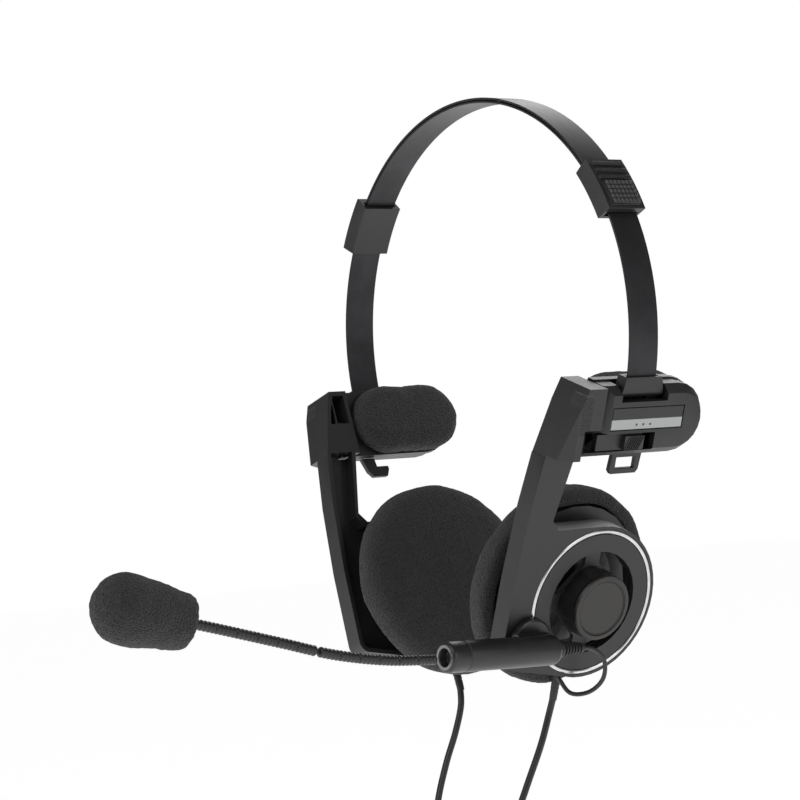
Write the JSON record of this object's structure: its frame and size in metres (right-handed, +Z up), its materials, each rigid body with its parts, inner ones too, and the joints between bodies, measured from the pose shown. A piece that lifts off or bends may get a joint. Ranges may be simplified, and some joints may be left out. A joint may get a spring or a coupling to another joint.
{
  "type": "headset",
  "caption": "Folding on-ear stereo headset with a two-strip steel band, foam pads on ball joints and a gooseneck boom microphone on one side.",
  "frame": {"origin": "under the crown of the band, where it rests on the head", "axes": "+X to the wearer's left, -Y forward, +Z up"},
  "size_m": [0.1322, 0.1784, 0.3322],
  "materials": {
    "black_plastic": "fine matte, black",
    "blued_steel": "dark satin spring steel",
    "bright_metal": "bright metal",
    "black_foam": "open-cell foam, black",
    "grey_print": "printed plate, light grey",
    "black_rubber": "soft PVC, black",
    "dark_hole": "perforated plastic, near black"
  },
  "bodies": {
    "right_band_body": {"right_band": "blued_steel", "right_clamp": "black_plastic", "right_bracket": "black_plastic", "cord_hank": "black_rubber", "cord_tie": "black_plastic", "cord_splitter": "black_rubber", "main_cord": "black_rubber", "main_cord_tail": "black_rubber", "plug": "bright_metal"},
    "left_band_body": {"left_band": "blued_steel", "left_clamp": "black_plastic", "left_bracket": "black_plastic"},
    "left_temple": {"left_temple_cover": "black_plastic", "left_temple_pin": "bright_metal", "left_temple_base": "black_plastic", "left_temple_screw": "bright_metal", "left_temple_pad": "black_foam", "left_temple_plate": "grey_print", "left_latch_loop": "black_plastic"},
    "left_slider": {"left_comfort_slider": "black_plastic"},
    "left_arm_body": {"left_arm": "black_plastic", "left_arm_pin": "bright_metal", "left_trim_ring": "bright_metal", "left_hub": "black_plastic", "left_cap": "black_plastic", "mic_lead": "black_rubber"},
    "left_ball_body": {"left_ball": "black_plastic"},
    "left_capsule": {"left_driver_housing": "black_plastic", "left_driver": "bright_metal", "left_grille": "dark_hole", "left_ear_pad": "black_foam", "left_gland": "black_rubber", "left_cord": "black_rubber"},
    "right_temple": {"right_temple_cover": "black_plastic", "right_temple_pin": "bright_metal", "right_temple_base": "black_plastic", "right_temple_screw": "bright_metal", "right_temple_pad": "black_foam", "right_temple_plate": "grey_print", "right_latch_hook": "black_plastic"},
    "right_slider": {"right_comfort_slider": "black_plastic"},
    "right_arm_body": {"right_arm": "black_plastic", "right_arm_pin": "bright_metal", "right_trim_ring": "bright_metal", "right_hub": "black_plastic", "right_cap": "black_plastic"},
    "right_ball_body": {"right_ball": "black_plastic"},
    "right_capsule": {"right_driver_housing": "black_plastic", "right_driver": "bright_metal", "right_grille": "dark_hole", "right_ear_pad": "black_foam", "right_gland": "black_rubber", "right_cord": "black_rubber"},
    "boom": {"boom_bracket": "black_plastic", "boom_tube": "black_plastic", "boom_strain_relief": "black_rubber"},
    "gooseneck": {"gooseneck_1": "black_rubber"},
    "microphone": {"gooseneck_2": "black_rubber", "mic_capsule": "black_plastic", "mic_windscreen": "black_foam"}
  },
  "joints": [
    {"name": "size_adjust", "type": "hinge", "parent": "right_band_body", "child": "left_band_body", "pos_m": [0, 0, -0.0645], "axis": [0, 1, 0], "range_deg": [-28, 2]},
    {"name": "left_temple_pivot", "type": "hinge", "parent": "left_band_body", "child": "left_temple", "pos_m": [0.06238, 0, -0.08345], "axis": [0, 1, 0], "range_deg": [-25, 2]},
    {"name": "left_comfort_slide", "type": "slide", "parent": "left_temple", "child": "left_slider", "axis": [0, 1, 0], "range_m": [-0.0034, 0.0034]},
    {"name": "left_arm_hinge", "type": "hinge", "parent": "left_temple", "child": "left_arm_body", "pos_m": [0.05526, -0.0165, -0.08993], "axis": [0.3173, 0, 0.9483], "range_deg": [-2.5, 2.5]},
    {"name": "left_ball_tilt", "type": "hinge", "parent": "left_arm_body", "child": "left_ball_body", "pos_m": [0.0386, -0.001, -0.14003], "axis": [0, 1, 0], "range_deg": [-5, 5]},
    {"name": "left_ball_swing", "type": "hinge", "parent": "left_ball_body", "child": "left_capsule", "pos_m": [0.0386, -0.001, -0.14003], "axis": [0.3173, 0, 0.9483], "range_deg": [-5, 5], "deforming": ["left_cord"]},
    {"name": "right_temple_pivot", "type": "hinge", "parent": "right_band_body", "child": "right_temple", "pos_m": [-0.06238, 0, -0.08345], "axis": [0, -1, 0], "range_deg": [-25, 2]},
    {"name": "right_comfort_slide", "type": "slide", "parent": "right_temple", "child": "right_slider", "axis": [0, 1, 0], "range_m": [-0.0034, 0.0034]},
    {"name": "right_arm_hinge", "type": "hinge", "parent": "right_temple", "child": "right_arm_body", "pos_m": [-0.05526, -0.0165, -0.08993], "axis": [-0.3173, 0, 0.9483], "range_deg": [-2.5, 2.5]},
    {"name": "right_ball_tilt", "type": "hinge", "parent": "right_arm_body", "child": "right_ball_body", "pos_m": [-0.0386, -0.001, -0.14003], "axis": [0, -1, 0], "range_deg": [-5, 5]},
    {"name": "right_ball_swing", "type": "hinge", "parent": "right_ball_body", "child": "right_capsule", "pos_m": [-0.0386, -0.001, -0.14003], "axis": [-0.3173, 0, 0.9483], "range_deg": [-5, 5], "deforming": ["right_cord"]},
    {"name": "boom_pivot", "type": "hinge", "parent": "left_arm_body", "child": "boom", "pos_m": [0.0373, -0.022, -0.14866], "axis": [0.9483, 0, -0.3173], "range_deg": [-70, 20], "deforming": ["mic_lead"]},
    {"name": "gooseneck_base_bend", "type": "hinge", "parent": "boom", "child": "gooseneck", "pos_m": [0.0426, -0.0556, -0.1504], "axis": [0, 0, 1], "range_deg": [-20, 20]},
    {"name": "gooseneck_mid_bend", "type": "hinge", "parent": "gooseneck", "child": "microphone", "pos_m": [0.0397, -0.0902, -0.1452], "axis": [1, 0, 0], "range_deg": [-25, 25]}
  ],
  "couplings": [
    {"joint": "left_comfort_slide", "follows": "left_arm_hinge", "m_per_rad": -0.0779},
    {"joint": "right_comfort_slide", "follows": "right_arm_hinge", "m_per_rad": 0.0779}
  ]
}
